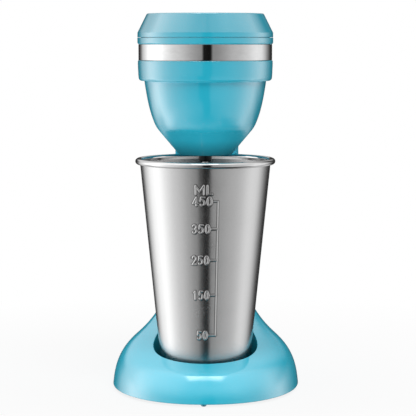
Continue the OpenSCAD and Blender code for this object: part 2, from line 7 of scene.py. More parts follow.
import bmesh
import bpy
import numpy as np
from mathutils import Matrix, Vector


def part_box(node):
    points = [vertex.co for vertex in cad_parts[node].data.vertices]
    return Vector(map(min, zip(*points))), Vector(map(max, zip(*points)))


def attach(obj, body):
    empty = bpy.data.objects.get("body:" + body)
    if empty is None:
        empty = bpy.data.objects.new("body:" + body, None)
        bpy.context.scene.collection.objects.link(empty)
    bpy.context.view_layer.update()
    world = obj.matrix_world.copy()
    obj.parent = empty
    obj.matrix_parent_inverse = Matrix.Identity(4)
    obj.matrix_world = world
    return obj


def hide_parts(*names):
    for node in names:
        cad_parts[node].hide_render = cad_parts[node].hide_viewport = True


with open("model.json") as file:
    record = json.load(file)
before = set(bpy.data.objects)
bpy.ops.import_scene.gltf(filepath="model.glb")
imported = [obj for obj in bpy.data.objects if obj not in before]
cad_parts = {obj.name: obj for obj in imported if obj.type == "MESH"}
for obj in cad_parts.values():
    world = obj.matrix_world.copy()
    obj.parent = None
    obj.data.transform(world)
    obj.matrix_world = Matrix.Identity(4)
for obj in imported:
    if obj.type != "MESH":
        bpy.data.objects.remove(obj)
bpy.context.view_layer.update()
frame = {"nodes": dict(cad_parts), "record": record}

MM = 0.001  # shapes are in millimetres, the scene in metres
PI = math.pi

# =============================================================================================
# Driving dimensions and outlines, in millimetres
# =============================================================================================
SKIRT = 2.1  # height of the base's lower edge
SOCKET_Z = 17.0  # floor of the socket the cup stands in
HINGE_Y, HINGE_Z = 72.0, 120.0
HINGE = (HINGE_Y, HINGE_Z)
KNUCKLE_R = 17.0
SPINDLE_R = 2.5
COLLAR_R = 43.85  # bore of the lid, ring and band where they sit on the bowl's collar

# An outline is five curves over height: half width, front y, y of the widest place, back y,
# and squareness (the power of the superellipse). Rows are [height, value, slope].
BASE_OUTLINE = (
    [[SKIRT, 64.8, -0.1], [31, 50.2, -1.27], [90, 24.2, -0.05], [140, 22.9, -0.02]],
    [[SKIRT, -61.6, 0.2], [18.6, -51.2, 1.08], [23.9, -34.5, 5], [38, 12, 1.6], [60, 30, 0.3],
     [140, 38, 0]],
    [[SKIRT, 17, 0], [29, 28, 0.5], [60, 56, 0.6], [90, 68, 0], [140, 70, 0]],
    [[SKIRT, 95.5, -0.05], [31, 91.5, -0.12], [80, 89, 0], [140, 89, 0]],
    [[SKIRT, 2.15, 0], [29, 2.2, 0.01], [70, 3.6, 0.03], [100, 4.2, 0], [140, 4.2, 0]],
)
BASE_FRONT_Y = BASE_OUTLINE[1][0][1]
ARM_OUTLINE = (
    [[120, 23.1, 0], [165, 22.7, 0], [200, 25.5, 0.12], [222, 27.5, 0.05]],
    [[120, 38, 0], [182, 36, 0], [222, 20, 0]],
    [[120, 70, 0], [170, 68, 0], [200, 50, -0.8], [222, 30, -0.9]],
    [[120, 89, 0], [170, 89, 0], [200, 80, -0.75], [222, 43, -2.4]],
    [[120, 4.2, 0], [170, 4.2, 0], [222, 2.6, 0]],
)


def blend_keys(z, keys):
    """Piecewise smooth curve through [height, value, slope], for an array of heights."""
    z = np.asarray(z, float)
    out = np.full(z.shape, float(keys[-1][1]))
    out = np.where(z <= keys[0][0], keys[0][1], out)
    for low, high in zip(keys[:-1], keys[1:]):
        span = high[0] - low[0]
        t = (z - low[0]) / span
        value = ((2 * t**3 - 3 * t**2 + 1) * low[1] + (t**3 - 2 * t**2 + t) * span * low[2]
                 + (3 * t**2 - 2 * t**3) * high[1] + (t**3 - t**2) * span * high[2])
        out = np.where((z > low[0]) & (z <= high[0]), value, out)
    return out


def outline_at(z, outline, inset):
    """The five values of an outline at an array of heights, its sides moved in by inset."""
    width, front, middle, back, power = (blend_keys(z, keys) for keys in outline)
    return width - inset, front + inset, middle, back - inset, power


def scoop_r(z, extra=0.0):
    """Radius of the cone scooped out of the base and arm round the cup."""
    return 35.2 + 0.1216 * (np.asarray(z, float) - 24) + extra


def far_radius(phi, z, inset=0.0, drop=0.0):
    """Distance from the z axis to the far side of the base's outline, 0 where it is missed."""
    at = np.asarray(z, float) + drop
    width, front, middle, back, power = outline_at(at, BASE_OUTLINE, inset)
    cos_phi, sin_phi = np.cos(phi), np.sin(phi)

    def level(r):
        """Negative inside the outline."""
        y = r * sin_phi - middle
        depth = np.where(y < 0, middle - front, back - middle)
        return (np.abs(r * cos_phi) / width) ** power + (np.abs(y) / depth) ** power - 1

    # the deepest place along the ray, by thirds, then the crossing beyond it, by halves
    low, high = np.zeros_like(at + phi), np.full_like(at + phi, 160.0)
    for _ in range(26):
        first, second = low + (high - low) / 3, high - (high - low) / 3
        better = level(first) < level(second)
        high, low = np.where(better, second, high), np.where(better, low, first)
    deepest = (low + high) / 2
    hit = level(deepest) < 0
    near, far = deepest.copy(), np.full_like(deepest, 160.0)
    for _ in range(30):
        half = (near + far) / 2
        is_in = level(half) < 0
        near, far = np.where(is_in, half, near), np.where(is_in, far, half)
    return np.where(hit, (near + far) / 2, 0.0)


# =============================================================================================
# Lines and arcs
# =============================================================================================


def ellipse_arc(x, y, radius_x, radius_y, start, end, count=14):
    """count + 1 points between two angles in degrees."""
    angles = [math.radians(start + (end - start) * i / count) for i in range(count + 1)]
    return [(x + radius_x * math.cos(a), y + radius_y * math.sin(a)) for a in angles]


def arc_points(centre, radius, start, end, count):
    return ellipse_arc(*centre, radius, radius, start, end, count)


def fillet(corners, steps):
    """Rounds a polyline of (x, y, corner radius); its two ends stay sharp."""
    out = []
    last = len(corners) - 1
    for i, (x, y, radius) in enumerate(corners):
        if radius <= 0 or i in (0, last):
            out.append((x, y))
            continue
        corner = np.array((x, y), float)
        back = np.array(corners[i - 1][:2], float) - corner
        ahead = np.array(corners[i + 1][:2], float) - corner
        back_length, ahead_length = np.linalg.norm(back), np.linalg.norm(ahead)
        back, ahead = back / back_length, ahead / ahead_length
        angle = math.acos(max(-1, min(1, float(back @ ahead))))
        if angle > PI - 0.02:
            out.append((x, y))
            continue
        cut = min(radius / math.tan(angle / 2), back_length * 0.49, ahead_length * 0.49)
        radius = cut * math.tan(angle / 2)
        bisector = (back + ahead) / np.linalg.norm(back + ahead)
        centre = corner + bisector * (radius / math.sin(angle / 2))
        first, final = corner + back * cut - centre, corner + ahead * cut - centre
        start, end = math.atan2(first[1], first[0]), math.atan2(final[1], final[0])
        turn = (end - start + PI) % (2 * PI) - PI
        for k in range(steps + 1):
            a = start + turn * k / steps
            out.append((centre[0] + radius * math.cos(a), centre[1] + radius * math.sin(a)))
    return out


def fillet_loop(corners, steps):
    """Rounds a closed outline that starts at a sharp point."""
    return fillet([*corners, corners[0]], steps)[:-1]


def densify(points, step):
    """Splits each side of a polyline into pieces no longer than step."""
    out = [points[0]]
    for a, b in zip(points[:-1], points[1:]):
        count = max(1, int(math.ceil(math.dist(a, b) / step)))
        for i in range(1, count + 1):
            out.append((a[0] + (b[0] - a[0]) * i / count, a[1] + (b[1] - a[1]) * i / count))
    return out


def lengths_along(line):
    return np.concatenate([[0], np.cumsum(np.linalg.norm(np.diff(line, axis=0), axis=1))])


def points_at(line, along, wanted):
    return np.stack([np.interp(wanted, along, line[:, 0]),
                     np.interp(wanted, along, line[:, 1])], 1)


EVEN_STEP = 0.25  # spacing of the lines that smooth_line works on


def even(points):
    """Evenly spaced points along a polyline."""
    line = np.asarray(points, float)
    along = lengths_along(line)
    count = max(2, int(round(along[-1] / EVEN_STEP)) + 1)
    return points_at(line, along, np.linspace(0, along[-1], count))


def take(line, fractions):
    """Points at the given fractions of a polyline's length."""
    along = lengths_along(line)
    if along[-1] < 1e-9:
        return np.repeat(line[:1], len(fractions), 0)
    return points_at(line, along, np.asarray(fractions) * along[-1])


def smooth_line(line, width):
    """Rounds every corner of an even polyline by a moving average taken twice, ends fixed."""
    k = max(1, int(round(width / EVEN_STEP / 2)))
    pad = np.concatenate([2 * line[0] - line[k:0:-1], line, 2 * line[-1] - line[-2:-k - 2:-1]])
    for _ in range(2):
        total = np.cumsum(np.concatenate([np.zeros((1, 2)), pad]), 0)
        inner = (total[k:] - total[:-k]) / k
        lead = (len(pad) - len(inner)) // 2
        tail = len(pad) - len(inner) - lead
        pad = np.concatenate([pad[:lead], inner, pad[len(pad) - tail:]])
    return pad[k:-k]


# =============================================================================================
# Meshes
# =============================================================================================


def new_object(name, data):
    obj = bpy.data.objects.new(name, data)
    bpy.context.scene.collection.objects.link(obj)
    return obj


def mesh_from(name, verts, faces, weld=0.0):
    """A mesh from vertices in millimetres."""
    mesh = bpy.data.meshes.new(name)
    mesh.from_pydata([tuple(v) for v in np.asarray(verts, float) * MM], [], faces)
    if weld:
        bm = bmesh.new()
        bm.from_mesh(mesh)
        bmesh.ops.remove_doubles(bm, verts=bm.verts, dist=weld * MM)
        bmesh.ops.dissolve_degenerate(bm, edges=bm.edges, dist=1e-7)
        bmesh.ops.recalc_face_normals(bm, faces=bm.faces)
        bm.to_mesh(mesh)
        bm.free()
    mesh.validate()
    mesh.update()
    return mesh


def mesh_of(bm, name):
    """Turns a bmesh into a mesh and frees it."""
    mesh = bpy.data.meshes.new(name)
    bm.to_mesh(mesh)
    bm.free()
    return mesh


def fix_normals(mesh):
    bm = bmesh.new()
    bm.from_mesh(mesh)
    bmesh.ops.recalc_face_normals(bm, faces=bm.faces)
    bm.to_mesh(mesh)
    bm.free()


def grid_faces(columns, rows, base=0):
    """Quads of a grid closed from its last column to its first."""
    faces = []
    for i in range(columns):
        here, beyond = base + i * rows, base + (i + 1) % columns * rows
        for j in range(rows - 1):
            faces.append((here + j, beyond + j, beyond + j + 1, here + j + 1))
    return faces


def ring_faces(rows, count):
    """Faces between rings, each row being (first vertex, whether it is a single pole)."""
    faces = []
    for (a, a_pole), (b, b_pole) in zip(rows[:-1], rows[1:]):
        for i in range(count):
            k = (i + 1) % count
            if a_pole:
                faces.append((a, b + k, b + i))
            elif b_pole:
                faces.append((a + i, a + k, b))
            else:
                faces.append((a + i, a + k, b + k, b + i))
    return faces


def lathe(name, profile, segs):
    """Turns an (r, z) profile about the z axis. One that starts off the axis is closed."""
    turns = [2 * PI * i / segs for i in range(segs)]
    verts, rows = [], []
    for r, z in profile:
        pole = abs(r) < 1e-6
        rows.append((len(verts), pole))
        if pole:
            verts.append((0, 0, z))
        else:
            verts += [(r * math.cos(a), r * math.sin(a), z) for a in turns]
    if not rows[0][1]:
        rows.append(rows[0])
    mesh = mesh_from(name, verts, ring_faces(rows, segs))
    fix_normals(mesh)
    return mesh


def loft_mesh(name, rings):
    """A closed solid through rings of points."""
    count = len(rings[0])
    verts = [point for ring in rings for point in ring]
    faces = []
    for j in range(len(rings) - 1):
        low, high = j * count, (j + 1) * count
        for i in range(count):
            k = (i + 1) % count
            faces.append((low + i, low + k, high + k, high + i))
    faces.append(tuple(range(count))[::-1])
    faces.append(tuple((len(rings) - 1) * count + i for i in range(count)))
    return mesh_from(name, verts, faces)


def lay_along(mesh, axis, centre):
    """Turns a lathed mesh from the z axis to another ("x", "y" or "z") and moves it."""
    local = np.array([v.co for v in mesh.vertices], float)
    placed = np.roll(local, "xyz".index(axis) + 1, axis=1) + np.array(centre) * MM
    mesh.vertices.foreach_set("co", placed.astype(np.float32).ravel())
    mesh.update()
    fix_normals(mesh)
    return mesh


def rod(radius, start, end, across, axis="x", bevel=0.0, segs=96, name="rod"):
    """A rod from start to end along an axis; across is its place on the other two axes."""
    half = (end - start) / 2
    corners = [(0, -half, 0), (radius, -half, bevel), (radius, half, bevel), (0, half, 0)]
    mesh = lathe(name, fillet(corners, steps=5), segs)
    centre = np.insert(np.array(across, float), "xyz".index(axis), (start + end) / 2)
    return lay_along(mesh, axis, centre)


def block(low, high, bevel=0.0, segments=3):
    """A block between two corners, with rounded edges."""
    bm = bmesh.new()
    bmesh.ops.create_cube(bm, size=1)
    low, high = np.array(low, float), np.array(high, float)
    for v in bm.verts:
        v.co = Vector((np.array(v.co) + 0.5) * (high - low) + low) * MM
    if bevel:
        bmesh.ops.bevel(bm, geom=list(bm.edges), offset=bevel * MM, segments=segments,
                        profile=0.5, affect="EDGES")
    return mesh_of(bm, "block")


def prism(outline, half):
    """A (y, z) outline given thickness along x, half to each side."""
    bm = bmesh.new()
    left = [bm.verts.new((-half * MM, y * MM, z * MM)) for y, z in outline]
    right = [bm.verts.new((half * MM, y * MM, z * MM)) for y, z in outline]
    bm.faces.new(left)
    bm.faces.new(right[::-1])
    for i in range(len(outline)):
        k = (i + 1) % len(outline)
        bm.faces.new((left[i], right[i], right[k], left[k]))
    bmesh.ops.recalc_face_normals(bm, faces=bm.faces)
    return mesh_of(bm, "prism")


def boolean(mesh, tools, operation):
    """Adds or removes closed meshes, one after another."""
    for tool in tools:
        before = len(mesh.vertices)
        # the exact solver steps in where the fast one changes nothing or loses the piece
        for solver in ("MANIFOLD", "EXACT"):
            target, other = new_object("tmp_a", mesh), new_object("tmp_c", tool)
            modifier = target.modifiers.new("b", "BOOLEAN")
            modifier.operation = operation
            modifier.solver = solver
            modifier.object = other
            graph = bpy.context.evaluated_depsgraph_get()
            out = bpy.data.meshes.new_from_object(target.evaluated_get(graph), depsgraph=graph)
            bpy.data.objects.remove(other, do_unlink=True)
            bpy.data.objects.remove(target, do_unlink=True)
            after = len(out.vertices)
            if after > 0.3 * before and after != before:
                break
        mesh = out
    return mesh


# =============================================================================================
# Materials
# =============================================================================================


class Nodes:
    """The node tree of a material or world. A value is a socket, a number or a colour."""

    def __init__(self, owner):
        owner.use_nodes = True
        self.owner = owner
        self.tree = owner.node_tree

    def fill(self, target, inputs):
        for key, value in inputs.items():
            if value is None:
                continue
            if isinstance(value, bpy.types.NodeSocket):
                self.tree.links.new(value, target.inputs[key])
            elif isinstance(value, tuple):
                target.inputs[key].default_value = (*value, 1)
            else:
                target.inputs[key].default_value = value

    def add(self, kind, inputs=None, **settings):
        """Adds a node and returns its outputs."""
        made = self.tree.nodes.new("ShaderNode" + kind)
        for key, value in settings.items():
            setattr(made, key, value)
        self.fill(made, inputs or {})
        return made.outputs

    def surface(self, inputs):
        """Fills in the material's surface and returns the material."""
        self.fill(self.tree.nodes["Principled BSDF"], inputs)
        return self.owner

    def position(self):
        return self.add("TexCoord")["Object"]

    def noise(self, vector, scale, detail=3.0, rough=0.55):
        return self.add("TexNoise", {"Scale": scale, "Detail": detail, "Roughness": rough,
                                     "Vector": vector})["Fac"]

    def remap(self, value, over, to=(0, 1)):
        return self.add("MapRange", {0: value, 1: over[0], 2: over[1], 3: to[0], 4: to[1]},
                        clamp=True)[0]

    def smooth(self, value, over):
        """0 to 1, eased, as value goes from over[0] to over[1]."""
        return self.add("MapRange", {0: value, 1: over[0], 2: over[1], 3: 0, 4: 1},
                        interpolation_type="SMOOTHSTEP")[0]

    def maths(self, operation, *values):
        return self.add("Math", dict(enumerate(values)), operation=operation)[0]

    def plus(self, a, b):
        return self.maths("ADD", a, b)

    def minus(self, a, b):
        return self.maths("SUBTRACT", a, b)

    def times(self, first, *others):
        for other in others:
            first = self.maths("MULTIPLY", first, other)
        return first

    def mix(self, factor, a, b):
        return self.add("Mix", {0: factor, 2: a, 3: b}, data_type="FLOAT")[0]

    def colour_mix(self, factor, a, b):
        return self.add("Mix", {0: factor, 6: a, 7: b}, data_type="RGBA")[2]

    def bump(self, height, strength, distance, normal=None):
        return self.add("Bump", {"Strength": strength, "Distance": distance, "Height": height,
                                 "Normal": normal})["Normal"]

    def curve(self, value, points):
        """A value looked up on a line through (place, value) points."""
        made = self.tree.nodes.new("ShaderNodeValToRGB")
        self.fill(made, {0: value})
        elements = made.color_ramp.elements
        while len(elements) > 1:
            elements.remove(elements[-1])
        for i, (place, level) in enumerate(points):
            element = elements[0] if i == 0 else elements.new(place)
            element.position = place
            element.color = (level, level, level, 1)
        return made.outputs["Color"]


def new_material(name):
    return Nodes(bpy.data.materials.new(name))


# how strongly the shell reflects, from facing the eye (0) to edge on (1)
SHELL_SPECULAR = [(0, 0.5), (0.5, 0.5), (0.8, 0.16), (1, 0.05)]
SHELL_COAT = [(0, 0.12), (0.2, 0.45), (0.42, 0.85), (0.6, 0.5), (0.8, 0.22), (1, 0.1)]


def glossy_shell(name, colour, deep, worn_colour, shade_colour):
    """Glossy plastic: faint flow in the colour, orange peel, edges rubbed duller and paler."""
    net = new_material(name)
    place = net.position()
    pointed = net.add("NewGeometry")["Pointiness"]
    flow = net.noise(place, scale=9, detail=4, rough=0.6)
    base = net.colour_mix(net.remap(flow, over=(0.35, 0.65)), deep, colour)
    patches = net.remap(net.noise(place, scale=160, detail=3), over=(0.4, 0.65))
    rub = net.times(net.remap(pointed, over=(0.53, 0.62), to=(0, 0.35)), patches)
    smear = net.noise(place, scale=38, detail=5, rough=0.7)
    rough = net.plus(net.remap(smear, over=(0.3, 0.7), to=(0.10, 0.16)), net.times(rub, 0.12))

    # duller and darker under the bowl, standing in for the cup's shade
    x, y, z = net.add("SeparateXYZ", {0: place})
    above = net.maths("GREATER_THAN", z, 0.14)
    from_axis = net.maths("SQRT", net.plus(net.maths("POWER", x, 2.0),
                                           net.maths("POWER", y, 2.0)))
    under = net.times(net.remap(z, over=(0.173, 0.159), to=(0, 0.88)), above,
                      net.remap(from_axis, over=(0.040, 0.034)))
    worn = net.colour_mix(rub, base, worn_colour)
    dull = net.times(net.remap(z, over=(0.190, 0.170)), above)

    facing = net.add("LayerWeight", {"Blend": 0.5})["Facing"]
    coat_rough = net.remap(smear, over=(0.3, 0.7), to=(0.09, 0.14))
    rounded = net.add("Bevel", {"Radius": 0.0005}, samples=4)["Normal"]
    peel = net.bump(net.noise(place, scale=420, detail=2, rough=0.5),
                    strength=0.03, distance=0.0004, normal=rounded)
    return net.surface({
        "Base Color": net.colour_mix(under, worn, shade_colour),
        "Roughness": net.plus(rough, net.times(dull, 0.25)),
        "IOR": 1.5,
        "Specular IOR Level": net.curve(facing, SHELL_SPECULAR),
        "Coat Weight": net.curve(facing, SHELL_COAT),
        "Coat IOR": 2.2,
        "Coat Roughness": net.plus(coat_rough, net.times(dull, 0.30)),
        "Normal": peel,
        "Coat Normal": peel,
    })


def turned_metal(name, grey, rough, line_scale, line_strength=0.0, aniso=0.0, foot_shade=False):
    """Metal brushed or ground round the z axis; for the cup it is darkened round the raised
    strokes, painted shade at their feet.
    """
    net = new_material(name)
    place = net.position()
    x, y, z = net.add("SeparateXYZ", {0: place})
    angle = net.maths("ARCTAN2", y, x)
    # the lines are looked up on a narrow cylinder, so that they run round the axis
    wrapped = net.add("CombineXYZ", {
        0: net.times(net.maths("COSINE", angle), 0.02),
        1: net.times(net.maths("SINE", angle), 0.02),
        2: z,
    })[0]
    lines = net.noise(wrapped, scale=line_scale, detail=4, rough=0.7)
    broad = net.noise(place, scale=14, detail=3, rough=0.6)
    smudge = net.noise(place, scale=70, detail=4, rough=0.65)
    light, dark = (grey,) * 3, (grey * 0.90,) * 3
    shade = net.colour_mix(net.remap(lines, over=(0.3, 0.7)), dark, light)
    shade = net.colour_mix(net.remap(broad, over=(0.35, 0.7), to=(0, 0.25)), shade, dark)
    # painted shade: the steel darkened round the feet of the raised strokes, where they meet the
    # wall
    if foot_shade:
        near = net.add("Attribute", attribute_name="stroke_foot_shade")["Fac"]
        shade = net.colour_mix(net.times(near, 0.80), shade, (0.02, 0.02, 0.02))
    line_rough = net.remap(lines, over=(0.3, 0.7), to=(rough * 0.85, rough * 1.15))
    smudge_rough = net.remap(smudge, over=(0.45, 0.75), to=(0, 0.05))
    inputs = {"Base Color": shade, "Metallic": 1,
              "Roughness": net.plus(line_rough, smudge_rough)}
    if aniso:
        inputs["Anisotropic"] = aniso
        inputs["Anisotropic Rotation"] = 0.25
        inputs["Tangent"] = net.add("Tangent", direction_type="RADIAL", axis="Z")[0]
    if line_strength:
        inputs["Normal"] = net.bump(lines, strength=line_strength, distance=0.00006)
    return net.surface(inputs)


def plain_metal(name, colour, rough):
    """Metal with a fine irregular grain."""
    net = new_material(name)
    place = net.position()
    grain = net.noise(place, scale=240, detail=5, rough=0.7)
    broad = net.noise(place, scale=25, detail=3, rough=0.6)
    dark = tuple(c * 0.7 for c in colour)
    return net.surface({
        "Base Color": net.colour_mix(net.remap(broad, over=(0.35, 0.7)), colour, dark),
        "Metallic": 1,
        "Roughness": net.remap(grain, over=(0.3, 0.7), to=(rough * 0.8, rough * 1.3)),
        "Normal": net.bump(grain, strength=0.15, distance=0.0001),
    })


def grained(name, colour, rough, grain, strength, sheen=None):
    """Dark moulded plastic or rubber with a fine grain."""
    net = new_material(name)
    place = net.position()
    fine = net.noise(place, scale=grain, detail=3, rough=0.6)
    broad = net.noise(place, scale=30, detail=4, rough=0.6)
    light = tuple(min(1, c * 1.5 + 0.006) for c in colour)
    patches = net.remap(broad, over=(0.4, 0.7), to=(0, 0.6))
    return net.surface({
        "Base Color": net.colour_mix(patches, colour, light),
        "Roughness": net.remap(broad, over=(0.3, 0.7), to=(rough * 0.85, rough * 1.12)),
        "Sheen Weight": sheen,
        "Normal": net.bump(fine, strength=strength, distance=0.0003),
    })


def wire_metal(name, colour):
    """Wound wire under varnish."""
    net = new_material(name)
    place = net.position()
    wave = net.add("TexWave", {"Scale": 900, "Distortion": 1.5, "Vector": place})["Fac"]
    dark = tuple(c * 0.45 for c in colour)
    return net.surface({
        "Base Color": net.colour_mix(wave, dark, colour),
        "Metallic": 0.85,
        "Roughness": 0.38,
        "Coat Weight": 0.5,
        "Normal": net.bump(wave, strength=0.4, distance=0.0002),
    })


# by material slot, with the cup's rim as an extra
MATERIALS = {
    "shell": glossy_shell(
        "shell", colour=(0.022, 0.385, 0.520), deep=(0.019, 0.368, 0.502),
        worn_colour=(0.20, 0.47, 0.56), shade_colour=(0.0, 0.01, 0.015)),
    "mirror_band": turned_metal("mirror_band", grey=0.50, rough=0.035, line_scale=300),
    # the cup's steel, with painted shade round the feet of its raised strokes
    "cup_steel": turned_metal("cup_steel", grey=0.44, rough=0.22, line_scale=2600,
                              line_strength=0.12, aniso=0.75, foot_shade=True),
    "cup_rim": turned_metal("cup_rim", grey=0.50, rough=0.07, line_scale=900),
    "bright_steel": turned_metal("ground_steel", grey=0.50, rough=0.16, line_scale=1500,
                                 line_strength=0.06, aniso=0.4),
    "plain_steel": plain_metal("plain_steel", colour=(0.40, 0.41, 0.43), rough=0.34),
    "black_plastic": grained("black_plastic", colour=(0.012, 0.012, 0.014), rough=0.36,
                             grain=900, strength=0.20),
    "rubber": grained("rubber", colour=(0.014, 0.014, 0.014), rough=0.62,
                      grain=500, strength=0.35, sheen=0.05),
    "bronze": plain_metal("bronze", colour=(0.42, 0.27, 0.13), rough=0.32),
    "brass": plain_metal("brass", colour=(0.62, 0.45, 0.18), rough=0.22),
    "copper": wire_metal("copper", colour=(0.62, 0.26, 0.11)),
}


def finish_piece(name, mesh, slot, body, sharp=32.0):
    """Makes the object that stands in for the CAD piece of the same name in lower case."""
    mesh.materials.clear()
    mesh.materials.append(MATERIALS[slot])
    for poly in mesh.polygons:
        poly.use_smooth = True
    mesh.set_sharp_from_angle(angle=math.radians(sharp))
    obj = new_object(name, mesh)
    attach(obj, body)
    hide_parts(name.lower())
    return obj


# =============================================================================================
# Base and neck
# =============================================================================================
SCOOP_WALL = 2.3  # thickness under the scoop and the socket's floor
OUTSIDE_SAMPLES = 220  # heights at which the outside is worked out in each direction
NECK_HALF = 22.95  # half width of the knuckle on the neck
GAP_HALF = 15  # half width of the gap in the knuckle, which takes the head's hub
POSTS = [(49, 17, 27), (-49, 17, 27), (20, 79, 44), (-20, 79, 44)]  # x, y, top


def crease_height(phi, extra, inset, drop, floor, top):
    """Height at which the scoop leaves the outside of the base, for each direction."""
    low, high = np.full_like(phi, floor), np.full_like(phi, top)
    open_top = far_radius(phi, high, inset, drop) > scoop_r(high, extra)
    for _ in range(24):
        half = (low + high) / 2
        outside = far_radius(phi, half, inset, drop) > scoop_r(half, extra)
        low, high = np.where(outside, half, low), np.where(outside, high, half)
    return np.where(open_top, top, (low + high) / 2)


def base_surface(phis, extra, inset, drop, floor, top, rounding, counts, soften=0.0):
    """Columns of (r, z) from the axis over the floor, up the scoop and down the outside.

    counts are the points on the floor, the scoop, the top and the outside.
    """
    crease = crease_height(phis, extra, inset, drop, floor, top)
    fractions = np.linspace(0, 1, OUTSIDE_SAMPLES)[None, :]
    all_z = crease[:, None] + (SKIRT - crease)[:, None] * fractions
    all_r = far_radius(np.repeat(phis[:, None], OUTSIDE_SAMPLES, 1), all_z, inset, drop)
    floor_count, scoop_count, top_count, outside_count = counts
    # how far along each part its points lie; they close up towards the edge
    spacings = [
        1 - (1 - np.linspace(0, 1, floor_count)) ** 1.6,
        1 - (1 - np.linspace(0, 1, scoop_count)) ** 1.7,
        0.5 - 0.5 * np.cos(np.linspace(0, PI, top_count)),
        np.linspace(0, 1, outside_count) ** 1.5,
    ]
    columns = []
    for edge_z, rs, zs in zip(crease, all_r, all_z):
        scoop_z = np.linspace(floor, edge_z, 60)
        up = np.stack([scoop_r(scoop_z, extra), scoop_z], 1)
        rs = rs.copy()
        rs[0] = max(rs[0], up[-1, 0])
        down = np.stack([rs, zs], 1)
        top_line = np.array([up[-1], down[0]])
        if rs[0] - up[-1, 0] > 0.3:
            top_line = even(top_line)
        outside = even(down)
        if soften and len(outside) > 60:
            outside = smooth_line(outside, soften)
        parts = [even([(0, floor), (up[0, 0], floor)]), even(up), top_line, outside]
        whole = np.concatenate([part[:-1] for part in parts[:-1]] + [outside])
        marks = np.cumsum([0] + [len(part) - 1 for part in parts])
        smoothed = smooth_line(whole, rounding)
        columns.append(np.concatenate([
            take(smoothed[start:end + 1], spacing)[1:]
            for start, end, spacing in zip(marks[:-1], marks[1:], spacings)
        ]))
    return np.array(columns)


def base_directions():
    """Directions of the columns, closer where the scoop's edge climbs the neck."""
    degrees = list(np.arange(0, 360, 2.25))
    for start, end, step in ((44, 66, 0.5), (66, 84, 1.0)):
        fine = np.arange(start, end, step)
        degrees += list(fine) + list(180 - fine)
    # the direction in which the edge of the scoop reaches the top of the neck
    low, high = 50.0, 75.0
    for _ in range(40):
        half = math.radians((low + high) / 2)
        if far_radius(np.array([half]), np.array([HINGE_Z]))[0] > scoop_r(HINGE_Z):
            high = (low + high) / 2
        else:
            low = (low + high) / 2
    degrees += [high, 180 - high]
    degrees = sorted(set(round(d, 3) for d in degrees))
    keep = [degrees[0]]
    for d in degrees[1:]:
        if d - keep[-1] > 0.15:
            keep.append(d)
    return np.radians(np.array(keep))


def base_body():
    """The hollow body: an outer and an inner surface joined along the skirt."""
    phis = base_directions()
    inner_floor = SOCKET_Z - SCOOP_WALL
    outer = base_surface(phis, extra=0, inset=0, drop=0, floor=SOCKET_Z, top=HINGE_Z,
                         rounding=1.9, counts=(9, 34, 8, 84), soften=8.0)
    inner = base_surface(phis, extra=SCOOP_WALL, inset=1.7, drop=2.2, floor=inner_floor,
                         top=99.8, rounding=0.8, counts=(5, 14, 3, 26))
    count, outer_rows, inner_rows = len(phis), outer.shape[1], inner.shape[1]
    cos_phi, sin_phi = np.cos(phis)[:, None], np.sin(phis)[:, None]
    verts = []
    for side in (outer, inner):
        points = [side[..., 0] * cos_phi, side[..., 0] * sin_phi, side[..., 1]]
        verts += [*np.stack(points, -1).reshape(-1, 3)]
    verts += [(0, 0, SOCKET_Z), (0, 0, inner_floor)]
    first_inner = count * outer_rows
    faces = grid_faces(count, outer_rows)
    faces += [tuple(reversed(f)) for f in grid_faces(count, inner_rows, base=first_inner)]
    top_pole = first_inner + count * inner_rows
    for i in range(count):
        k = (i + 1) % count
        out_i, out_k = i * outer_rows, k * outer_rows
        in_i, in_k = first_inner + i * inner_rows, first_inner + k * inner_rows
        faces.append((top_pole, out_k, out_i))
        faces.append((top_pole + 1, in_i, in_k))
        faces.append((out_i + outer_rows - 1, out_k + outer_rows - 1,
                      in_k + inner_rows - 1, in_i + inner_rows - 1))
    return mesh_from("base_shell_v", verts, faces, weld=0.004)


def base_shell_mesh():
    mesh = base_body()
    added = [
        rod(KNUCKLE_R, -NECK_HALF, NECK_HALF, HINGE, bevel=1.2, segs=160),
        # a pip under the front edge
        rod(1.9, 0, 2.7, (0, BASE_FRONT_Y + 2.8), "z", bevel=0.8, segs=40),
    ]
    added += [rod(4, 5, top, (x, y), "z", segs=40) for x, y, top in POSTS]
    mesh = boolean(mesh, added, "UNION")
    removed = [
        # the gap between the knuckle's ears, opened to the back and to the front
        rod(15, -GAP_HALF, GAP_HALF, HINGE, segs=128),
        block((-GAP_HALF, HINGE_Y, 116.5), (GAP_HALF, 100, 150)),
        block((-GAP_HALF, 40, HINGE_Z + 0.4), (GAP_HALF, HINGE_Y + 1, 150)),
        # a hole down into the neck
        rod(3.5, 90, 114, (0, HINGE_Y), "z", segs=48),
        # the hinge's bore, wider at both ends
        rod(3, -30, 30, HINGE, segs=64),
        rod(6, 21, 30, HINGE, segs=64),
        rod(6, -30, -21, HINGE, segs=64),
        # a hole through the back, near the floor
        rod(4.6, 84, 104, (0, 11), "y", segs=64),
    ]
    return boolean(mesh, removed, "DIFFERENCE")


# =============================================================================================
# Head
# =============================================================================================
BOWL_Z, BOWL_R = 162.4, 18.0  # underside of the bowl and its radius there
BOWL_WALL = 2.3
BOWL_KEYS = [[181, 33.6, 0.45], [211, 41.3, 0.15]]  # height, radius, slope, above the cone
CONE_TOP, CONE_TOP_R = BOWL_KEYS[0][:2]
CONE_SLOPE = (CONE_TOP_R - BOWL_R) / (CONE_TOP - BOWL_Z)
HUB_HALF = 14.5  # half width of the hub between the knuckle's ears
CUT_HALF = 30  # half length of cutters that pass right through along x
# collar round the bowl's rim, from the outside below to its top: radius, height, rounding
BOWL_COLLAR = [
    (41.45, 212.6, 0.5), (45.2, 212.6, 2.2), (45.62, 217, 0), (45.9, 224, 0),
    (45.85, 226.4, 0.6), (43.8, 226.4, 0.2), (43.8, 244.5, 0.3), (41.6, 244.5, 0.3),
]


